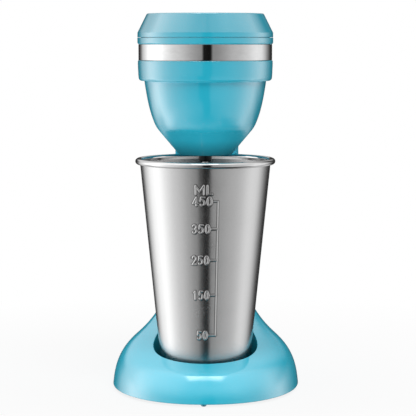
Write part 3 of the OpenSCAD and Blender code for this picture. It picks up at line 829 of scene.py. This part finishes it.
def bowl_radius(z):
    if z < CONE_TOP:
        return BOWL_R + CONE_SLOPE * (z - BOWL_Z)
    return float(blend_keys(np.array([z]), BOWL_KEYS)[0])


def bowl_inside():
    """The bowl's inside, from the axis up to the collar."""
    points = [(0, BOWL_Z + BOWL_WALL), (BOWL_R - 1.4, BOWL_Z + BOWL_WALL),
              (bowl_radius(179.5) - 2.7, 180.2)]
    points += [(bowl_radius(z) - BOWL_WALL, z) for z in np.linspace(184, 211, 8)]
    return points + [(39.2, 214.9), (41.6, 217)]


def bowl_mesh():
    corners = [(0, BOWL_Z, 0), (BOWL_R, BOWL_Z, 1.1), (33.7, 181.1, 26.0)]
    corners += [(bowl_radius(z), z, 0) for z in np.linspace(187.5, 210.9, 14)]
    corners += BOWL_COLLAR
    corners += [(r, z, 0) for r, z in reversed(bowl_inside())]
    return lathe("bowl", fillet(corners, steps=8), 256)


def respace(ring, count):
    """The same closed outline with evenly spaced points."""
    closed = np.array(ring + [ring[0]], float)
    along = lengths_along(closed[:, :2])
    wanted = np.linspace(0, along[-1], count, endpoint=False)
    return [(np.interp(t, along, closed[:, 0]), np.interp(t, along, closed[:, 1]), closed[0, 2])
            for t in wanted]


def arm_loft(inset, bottom, top, count, levels):
    """The arm's outside, moved in by inset; count points in each of its levels."""
    rings = []
    for z in np.linspace(bottom, top, levels):
        values = outline_at(np.array([z]), ARM_OUTLINE, inset)
        width, front, middle, back, power = (value[0] for value in values)
        ring = []
        for i in range(count):
            a = 2 * PI * i / count
            c, s = math.cos(a), math.sin(a)
            depth = middle - front if s < 0 else back - middle
            ring.append((width * math.copysign(abs(c) ** (2 / power), c),
                         middle + depth * math.copysign(abs(s) ** (2 / power), s), z))
        rings.append(respace(ring, count))
    return loft_mesh("arm", rings)


def scoop_solid(extra, top, rounding):
    """The scooped cone as a solid, from well below the arm up to top."""
    floor = 100
    corners = [(0, floor, 0), (float(scoop_r(floor, extra)), floor, 0),
               (float(scoop_r(top, extra)), top, rounding), (0, top, 0)]
    return lathe("scoop", fillet(corners, steps=5), 256)


def head_mesh():
    # the arm, cleared from the cup, the knuckle and the space behind and below the hinge
    tilt, reach = math.radians(55), 60
    wedge = [HINGE, (HINGE_Y + reach * math.cos(tilt), HINGE_Z + reach * math.sin(tilt)),
             (HINGE_Y + reach, 100), (HINGE_Y, 100)]
    mesh = boolean(arm_loft(0, HINGE_Z + 0.6, 221, count=128, levels=80), [
        scoop_solid(0, 182, rounding=1.5),
        rod(KNUCKLE_R + 0.6, -CUT_HALF, CUT_HALF, HINGE, segs=200),
        prism(wedge, CUT_HALF),
    ], "DIFFERENCE")

    # the hub, and a tongue that ties it to the arm
    mesh = boolean(mesh, [
        rod(14, -HUB_HALF, HUB_HALF, HINGE, bevel=0.5, segs=128),
        prism([HINGE] + arc_points(HINGE, 19.6, 57, 177, 48), HUB_HALF),
    ], "UNION")

    # the bowl is a shell, so its inside is taken from the arm first
    hollow = lathe("hollow", bowl_inside() + [(41.6, 250), (0, 250)], 256)
    mesh = boolean(mesh, [hollow], "DIFFERENCE")
    mesh = boolean(mesh, [bowl_mesh()], "UNION")

    arm_inside = boolean(arm_loft(2.4, 140, 218.5, count=64, levels=36),
                         [scoop_solid(2.4, 184.5, rounding=0)], "DIFFERENCE")
    groove = lathe("groove", [(9.5, -3), (20, -3), (20, 3), (9.5, 3)], 128)
    removed = [
        arm_inside,
        # the hinge's bore and the spindle's hole in the floor of the bowl
        rod(4.5, -CUT_HALF, CUT_HALF, HINGE, segs=64),
        rod(6.5, 150, 170, (0, 0), "z"),
        # an opening in the back of the arm, and a row of slots above it
        block((-9, 80, 142), (9, 95, 168), bevel=0.6),
        *(block((-11, 64, z), (11, 96, z + 2), bevel=0.6, segments=2)
          for z in np.arange(181, 204, 5.5)),
        # a groove round the middle of the hub
        lay_along(groove, "x", (0, *HINGE)),
    ]
    return boolean(mesh, removed, "DIFFERENCE")


def lid_mesh():
    return lathe("lid_v", fillet([
        (0, 255.7, 0), (37.5, 255.7, 1.5), (43.2, 245.9, 0.4), (COLLAR_R, 244.7, 0.3),
        (COLLAR_R, 241.95, 0.2), (46.1, 241.95, 0.3), (46.1, 245.0, 1.6), (39.6, 258.0, 1.4),
        (0, 258.0, 0),
    ], steps=8), 256)


def upper_ring_mesh():
    low, high, radius = 237.4, 241.75, 46.15
    return lathe("ring_v", fillet_loop([
        (COLLAR_R, 239.5, 0), (COLLAR_R, low, 0.2), (radius, low, 1.1), (radius, high, 0.25),
        (COLLAR_R, high, 0.2),
    ], steps=7), 256)


def mirror_band_mesh():
    low, high, radius = 226.5, 237.3, 45.45
    return lathe("band_v", fillet_loop([
        (COLLAR_R, 232, 0), (COLLAR_R, low, 0.1), (radius, low, 0.3), (radius, high, 0.3),
        (COLLAR_R, high, 0.1),
    ], steps=5), 256)


# =============================================================================================
# Cup
# =============================================================================================
CUP_WALL = 0.8
CUP_FOOT_Z, CUP_WALL_TOP = 19, 156
RIM_CENTRE, RIM_R = (45.94, 157.7), 2.0  # the rolled rim's section
SCALE_LINE = 12.6  # degrees to the right of the front at which the scale's upright line stands

# Characters as lines of (across, up) points, in cells 1.6 high and about 1.0 wide
GLYPH_HEIGHT = 1.6
GLYPHS = {
    "0": ellipse_arc(0.5, 0.8, 0.42, 0.78, 0, 360, 28),
    "1": [(0.25, 1.3), (0.55, 1.58), (0.55, 0.02)],
    "2": ellipse_arc(0.5, 1.13, 0.4, 0.45, 160, -35) + [(0.08, 0.03), (0.94, 0.03)],
    "3": (ellipse_arc(0.45, 1.19, 0.4, 0.38, 150, -80)
          + ellipse_arc(0.45, 0.43, 0.45, 0.41, 80, -150)),
    "4": [(0.95, 0.45), (0.04, 0.45), (0.68, 1.58), (0.68, 0.02)],
    "5": ([(0.86, 1.57), (0.2, 1.57), (0.12, 0.88)]
          + ellipse_arc(0.45, 0.53, 0.45, 0.5, 118, -140, 16)),
    "M": [(0.0, 0.02), (0.0, 1.58), (0.6, 0.5), (1.2, 1.58), (1.2, 0.02)],
    "L": [(0.1, 1.58), (0.1, 0.02), (0.85, 0.02)],
}
# number, height, angle of its right end in degrees, step from digit to digit
MARKS = [
    ("450", 133.9, 7.2, 4.7), ("350", 115.3, 5.4, 4.3), ("250", 94.1, 4.5, 4.1),
    ("150", 70.2, 4.7, 3.9), ("50", 42.6, 3.2, 4.0),
]
DIGIT_HEIGHT, DIGIT_GAP = 5.6, 1.35


def cup_radius(z):
    return 44.06 + 0.1005 * (z - 150)


def cup_strokes():
    """Segments (angle, z, angle, z) on the wall, the angle in radians from the front."""
    out = []

    def glyph(character, x, z, width, height, radius):
        points = [(x + across * width, z + (up / GLYPH_HEIGHT) * height)
                  for across, up in GLYPHS[character]]
        for a, b in zip(points[:-1], points[1:]):
            out.append((a[0] / radius, a[1], b[0] / radius, b[1]))

    line_angle = math.radians(SCALE_LINE)
    for text, z, end, pitch in MARKS:
        radius = cup_radius(z)
        width = pitch - DIGIT_GAP
        left = radius * math.radians(end) - pitch * len(text) + (pitch - width)
        for i, character in enumerate(text):
            glyph(character, left + pitch * i, z - DIGIT_HEIGHT / 2, width, DIGIT_HEIGHT,
                  radius)
        # the tick from the number to the upright line
        out.append((math.radians(end + 1.6), z, line_angle, z))
    radius = cup_radius(142)
    glyph("M", -5.6, 138.6, 4.6, 6.0, radius)
    glyph("L", 1.9, 138.6, 4.2, 6.0, radius)
    out.append((line_angle, 42.2, line_angle, 133.9))
    return np.array(out)


def raised_marks(angles, heights):
    """How far the strokes lift the wall, and how near each point is to a stroke's foot, which
    sets the painted shade there.
    """
    signed = np.where(angles > PI, angles - 2 * PI, angles)
    near = np.abs(signed) < math.radians(15)
    radius = cup_radius(heights)[:, None]
    x = signed[near][None, :] * radius
    z = np.repeat(heights[:, None], int(near.sum()), 1)
    nearest = np.full(x.shape, 99.0)
    for start_angle, start_z, end_angle, end_z in cup_strokes():
        start_x = start_angle * radius
        dx, dz = end_angle * radius - start_x, end_z - start_z
        square = dx * dx + dz * dz
        t = np.clip(((x - start_x) * dx + (z - start_z) * dz) / np.maximum(square, 1e-9), 0, 1)
        # strokes that start well to the right are thinner
        thin = 0.22 if start_angle > math.radians(8) else 0.0
        gap = np.hypot(x - (start_x + t * dx), z - (start_z + t * dz))
        nearest = np.minimum(nearest, gap + thin)
    rise = np.clip((0.78 - nearest) / 0.58, 0, 1)
    lift = np.zeros((len(heights), len(angles)))
    lift[:, near] = 0.34 * rise * rise * (3 - 2 * rise)
    foot_shade = np.zeros_like(lift)
    foot_shade[:, near] = np.exp(-((nearest - 0.88) / 0.24) ** 2)
    return lift, foot_shade


def cup_mesh():
    foot_r = cup_radius(CUP_FOOT_Z)
    below = fillet([(0, 21.4, 0), (24, 21.4, 0.8), (25.2, CUP_FOOT_Z, 0)], steps=4)
    below += arc_points((foot_r - 2.4, 21.6), 2.6, -90, -6, 8)
    # rows close together over the height of the scale
    wall_z = np.concatenate([np.linspace(22, 38, 9)[:-1], np.linspace(38, 148, 420),
                             np.linspace(148, CUP_WALL_TOP, 6)[1:]])
    wall = [(cup_radius(z), z) for z in wall_z]
    above = arc_points(RIM_CENTRE, RIM_R - CUP_WALL, 180, -115, 24)
    above += arc_points(RIM_CENTRE, RIM_R, -115, 180, 44)
    above += densify([(cup_radius(z) - CUP_WALL, z) for z in (CUP_WALL_TOP, 90, 24)], 8)
    above += arc_points((foot_r - 3.4, 24.2), 2, -6, -90, 8) + [(0, 22.2)]
    profile = below + wall + above

    # columns close together across the scale, the rest of the way round wider apart
    angles = np.concatenate([np.radians(np.linspace(-12.5, 14.5, 150)),
                             np.radians(np.linspace(14.5, 347.5, 170))[1:-1]])
    count = len(angles)
    lift, foot_shade = np.zeros((2, len(profile), count))
    wall_rows = slice(len(below), len(below) + len(wall))
    lift[wall_rows], foot_shade[wall_rows] = raised_marks(angles, wall_z)
    verts, rows, foot_shade_values = [], [], []
    for i, (r, z) in enumerate(profile):
        pole = r < 1e-6
        rows.append((len(verts), pole))
        if pole:
            verts.append((0, 0, z))
            foot_shade_values.append(0.0)
            continue
        radii = r + lift[i]
        foot_shade_values += list(foot_shade[i])
        # angle 0 is the front, -y, and the angle grows towards +x
        verts += list(np.stack([np.sin(angles) * radii, -np.cos(angles) * radii,
                                np.full(count, z)], 1))
    mesh = mesh_from("cup_v", verts, ring_faces(rows, count))
    fix_normals(mesh)
    # the nearness to a stroke's foot, which the steel's material turns into painted shade
    attribute = mesh.attributes.new("stroke_foot_shade", "FLOAT", "POINT")
    attribute.data.foreach_set("value", np.array(foot_shade_values, np.float32))
    return mesh


# =============================================================================================
# Drive
# =============================================================================================


def agitator_mesh():
    """A thin disc pressed into six waves, with a hub."""
    low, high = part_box("agitator")
    rows, columns = 18, 96
    middle_z = low.z / MM + 2.4
    disc_r = high.x / MM
    inner_r, flat_r = 2.6, 4.2  # the disc's bore, and where its waves begin
    verts = []
    for side in (0.45, -0.45):
        for i in range(rows):
            r = inner_r + (disc_r - inner_r) * i / (rows - 1)
            wave = 1.5 * max(0.0, (r - flat_r) / (disc_r - flat_r)) ** 1.3
            half = side * (0.5 if i == rows - 1 else 1)
            for j in range(columns):
                a = 2 * PI * j / columns
                verts.append((r * math.cos(a), r * math.sin(a),
                              middle_z + wave * math.cos(6 * a) + half))
    under = rows * columns
    edge = (rows - 1) * columns
    faces = []
    for i in range(0, edge, columns):
        for j in range(columns):
            k = (j + 1) % columns
            a, b, c, d = i + j, i + columns + j, i + columns + k, i + k
            faces.append((a, b, c, d))
            faces.append((under + a, under + d, under + c, under + b))
    for j in range(columns):
        k = (j + 1) % columns
        faces.append((edge + j, under + edge + j, under + edge + k, edge + k))
        faces.append((j, k, under + k, under + j))
    disc = mesh_from("disc", verts, faces)
    fix_normals(disc)
    # radius, height from the disc's middle, rounding
    hub_corners = [(SPINDLE_R, -2.9, 0), (3.4, -2.9, 0.3), (4.0, -2.2, 0.3), (4.0, 2.6, 0.3),
                   (3.2, 3.6, 0.3), (SPINDLE_R, 3.6, 0)]
    hub_corners = [(r, middle_z + z, rounding) for r, z, rounding in hub_corners]
    hub = lathe("hub", fillet(hub_corners, steps=4), 64)
    bm = bmesh.new()
    bm.from_mesh(disc)
    bm.from_mesh(hub)
    return mesh_of(bm, "agitator_v")


SPINDLE_TOP = 165


def spindle_mesh():
    return rod(SPINDLE_R, 55, SPINDLE_TOP, (0, 0), "z", bevel=0.6, segs=48, name="spindle_v")


def coupling_mesh():
    """A sleeve over the spindle's top, with a wider bore above it."""
    return lathe("coupling_v", fillet_loop([
        (SPINDLE_R, SPINDLE_TOP, 0), (SPINDLE_R, 157.4, 0.2), (3.9, 157.4, 0.3),
        (4.3, 158.2, 0.3), (4.3, 171, 0.4), (3.0, 171, 0), (3.0, SPINDLE_TOP, 0),
    ], steps=4), 64)


# =============================================================================================
# Assembly
# =============================================================================================
finish_piece("Base_shell", base_shell_mesh(), "shell", "base", sharp=38)
finish_piece("Head_housing", head_mesh(), "shell", "head", sharp=30)
finish_piece("Lid", lid_mesh(), "shell", "head")
finish_piece("Upper_ring", upper_ring_mesh(), "shell", "head")
finish_piece("Mirror_band", mirror_band_mesh(), "mirror_band", "head")

cup = finish_piece("Cup", cup_mesh(), "cup_steel", "cup", sharp=50)
cup.data.materials.append(MATERIALS["cup_rim"])
for poly in cup.data.polygons:
    if poly.center.z > (CUP_WALL_TOP - 0.1) * MM:
        poly.material_index = 1

finish_piece("Agitator", agitator_mesh(), "bright_steel", "drive", sharp=40)
finish_piece("Spindle", spindle_mesh(), "bright_steel", "drive")
finish_piece("Drive_coupling", coupling_mesh(), "black_plastic", "drive")

# the CAD pieces that stay visible take the material of their slot
slots = {part["node"]: part["material_slot"] for part in frame["record"]["subparts"]}
for name, obj in frame["nodes"].items():
    if not obj.hide_render:
        obj.data.materials.clear()
        obj.data.materials.append(MATERIALS[slots[name]])

# =============================================================================================
# Floor, light and camera, in metres
# =============================================================================================


def floor_material():
    """Matt near the product, fading to plain white further out."""
    net = new_material("floor")
    net.surface({"Base Color": (0.86, 0.86, 0.86), "Roughness": 0.9, "Specular IOR Level": 0.0})
    white = net.add("Emission", {"Color": (1, 1, 1), "Strength": 1.0})[0]
    place = net.add("NewGeometry")["Position"]
    distance = net.add("VectorMath", {0: place}, operation="LENGTH")["Value"]
    mixed = net.add("MixShader", {
        0: net.remap(distance, over=(0.10, 0.40), to=(0.86, 1.0)),
        1: net.tree.nodes["Principled BSDF"].outputs[0],
        2: white,
    })[0]
    net.fill(net.tree.nodes["Material Output"], {"Surface": mixed})
    return net.owner


def make_floor():
    material = floor_material()
    mesh = lathe("floor_v", [(0, 0), (300, 0), (700, 0), (3000, 0)], 96)
    mesh.materials.append(material)
    floor = new_object("Floor", mesh)
    floor.location.z = -0.0002
    floor.visible_diffuse = False
    floor.visible_glossy = False
    floor.visible_shadow = False


# A light tent. Rows are compass direction in degrees, 0 straight towards the camera and minus
# to the left, and how bright the tent's walls are there.
TENT = [
    (-180, 0.05), (-157, 0.05), (-150, 0.25), (-145, 0.5), (-140, 0.95), (-130, 1.45),
    (-118, 2.2), (-100, 2.6), (-88, 2.35), (-78, 1.9), (-60, 1.36), (-47, 1.25), (-25, 0.95),
    (-9.5, 0.72), (-6.5, 0.03), (6.5, 0.03), (9.5, 0.66), (25, 0.78), (45, 0.92), (60, 1.02),
    (75, 1.25), (85, 1.5), (95, 1.6), (110, 1.5), (120, 1.0), (129, 0.5), (138, 0.2),
    (146, 0.05), (180, 0.05),
]
TENT_SCALE = 3  # brightness at the top of the colour ramp


def tent_roof(net, x, y, z):
    """Even, brighter to the left and dimmer behind, with a long soft box across it."""
    right_rear = net.times(net.smooth(x, over=(0.1, 0.6)), net.smooth(y, over=(0.4, 0.85)), 0.65)
    dimmer = net.times(net.smooth(y, over=(-0.2, 0.8)), net.plus(right_rear, 0.95))
    roof = net.minus(net.plus(net.times(x, -0.45), 1.85), dimmer)
    strip = net.times(
        net.smooth(net.maths("ABSOLUTE", x), over=(0.25, 0.19)),
        net.smooth(net.maths("ABSOLUTE", net.minus(y, -0.12)), over=(0.19, 0.10)),
        net.smooth(z, over=(0.5, 0.6)))
    return net.plus(roof, net.times(strip, 4.0))


def make_world():
    """The tent, seen in reflections, an even soft light for matt surfaces, white to the eye."""
    world = bpy.data.worlds.new("tent")
    bpy.context.scene.world = world
    net = Nodes(world)
    x, y, z = net.add("SeparateXYZ", {0: net.add("TexCoord")["Generated"]})

    # dip is the band just below the horizon, where the cup looks; the walls are turned there
    compass = net.maths("ARCTAN2", x, net.times(y, -1.0))
    dip = net.times(net.smooth(z, over=(-0.15, -0.20)), net.smooth(z, over=(-0.46, -0.38)))
    turn = net.remap(dip, over=(0.0, 1.0), to=(math.radians(4.5), math.radians(-0.7)))
    compass = net.minus(compass, turn)
    stations = [((degrees + 180) / 360, level / TENT_SCALE) for degrees, level in TENT]
    walls = net.times(net.curve(net.remap(compass, over=(-PI, PI)), stations), TENT_SCALE)

    up_front = net.smooth(z, over=(0.30, 0.85))
    up_rear = net.times(net.smooth(z, over=(0.12, 0.35)), net.smooth(y, over=(0.1, 0.5)))
    tent = net.mix(net.maths("MAXIMUM", up_front, up_rear), walls, tent_roof(net, x, y, z))

    # behind and well below the horizon the tent's floor is bright
    low_rear = net.times(net.smooth(z, over=(-0.25, -0.45)), net.smooth(y, over=(0.1, 0.5)))
    tent = net.mix(low_rear, tent, 0.9)

    # the dark gap at the front is wider where the cup looks
    gap_edge = (math.radians(13.0), math.radians(9.2))
    gap = net.times(net.smooth(net.maths("ABSOLUTE", compass), over=gap_edge), dip)
    tent = net.mix(gap, tent, 0.02)

    # and the walls shade off gently to its left, and outside the dip to its right as well
    def beside(outer, inner):
        """A shade that grows from outer[0] to outer[1] and ends between the inner angles."""
        return (net.smooth(compass, over=tuple(map(math.radians, outer))),
                net.smooth(compass, over=tuple(map(math.radians, inner))))

    shade_left = net.times(*beside(outer=(-62, -12), inner=(8, 0)),
                           net.remap(dip, over=(0.0, 1.0), to=(0.30, 0.40)))
    shade_right = net.times(*beside(outer=(50, 12), inner=(-4, 4)), net.minus(1.0, dip), 0.30)
    tent = net.times(tent, net.minus(1.0, net.plus(shade_left, shade_right)))

    # under the head the tent's floor is lit from the left
    below = net.times(net.smooth(z, over=(-0.50, -0.68)), net.smooth(y, over=(0.45, 0.1)))
    from_left = net.maths("MAXIMUM", net.plus(net.times(x, -1.3), 0.15), 0.10)
    tent = net.mix(below, tent, from_left)

    # matt surfaces see one soft light, a little stronger from the left and from behind
    rear = net.times(net.smooth(y, over=(-0.3, 0.5)), 0.55)
    soft = net.plus(net.plus(net.times(x, -0.12), rear), 0.28)
    path = net.add("LightPath")
    level = net.mix(path["Is Diffuse Ray"], tent, soft)
    net.fill(net.tree.nodes["Background"], {
        "Strength": net.mix(path["Is Camera Ray"], level, 1.0),
        "Color": (1, 1, 1),
    })
    world.cycles.sampling_method = "NONE"


def soft_box(name, spot, target, size, watts, lit=(), own_shadows=False):
    """An area light that only the matt part of a surface answers to.

    lit names the only pieces it lights; with own_shadows only they cast shadows in it.
    """
    data = bpy.data.lights.new(name, "AREA")
    data.shape = "RECTANGLE"
    data.size, data.size_y = size
    data.energy = watts
    lamp = new_object(name, data)
    lamp.location = spot
    lamp.rotation_mode = "QUATERNION"
    lamp.rotation_quaternion = (Vector(target) - Vector(spot)).to_track_quat("-Z", "Y")
    lamp.visible_glossy = False
    lamp.visible_camera = False
    if lit:
        group = bpy.data.collections.new(name + "_lit")
        for piece in lit:
            group.objects.link(bpy.data.objects[piece])
        lamp.light_linking.receiver_collection = group
        if own_shadows:
            lamp.light_linking.blocker_collection = group


def make_lights():
    soft_box("low_front", spot=(-0.10, -0.62, -0.58), target=(0, 0, 0.17), size=(1.6, 0.25),
             watts=10.5, lit=("Head_housing", "Lid", "Upper_ring"), own_shadows=True)
    soft_box("high_front", spot=(0.32, -0.80, 1.05), target=(0, -0.02, 0.08), size=(0.9, 0.6),
             watts=9.0)
    soft_box("base_fill", spot=(-0.62, -0.52, 0.75), target=(0, 0, 0.03), size=(0.6, 0.5),
             watts=7.4, lit=("Base_shell",))
    soft_box("base_fill_right", spot=(0.66, -0.50, 0.62), target=(0, 0, 0.03), size=(0.6, 0.5),
             watts=3.6, lit=("Base_shell",))


def make_camera():
    """Looks at the product from the front, turned a degree and tipped a little down."""
    turn, pitch = math.radians(1.0), math.radians(5.93)
    distance, height, shift_right = 1.1107, 0.24065, 0.00184547
    data = bpy.data.cameras.new("camera")
    data.sensor_width = 36
    data.lens = 140.625
    data.clip_start, data.clip_end = 0.05, 50
    camera = new_object("camera", data)
    ahead = Vector((-math.sin(turn), math.cos(turn), 0))
    right = Vector((math.cos(turn), math.sin(turn), 0))
    camera.location = -ahead * distance + right * shift_right + Vector((0, 0, height))
    look = ahead * math.cos(pitch) - Vector((0, 0, 1)) * math.sin(pitch)
    camera.rotation_mode = "QUATERNION"
    camera.rotation_quaternion = look.to_track_quat("-Z", "Y")
    bpy.context.scene.camera = camera


make_floor()
make_world()
make_lights()
make_camera()
bpy.context.scene.view_settings.view_transform = "Standard"
bpy.context.scene.view_settings.look = "None"
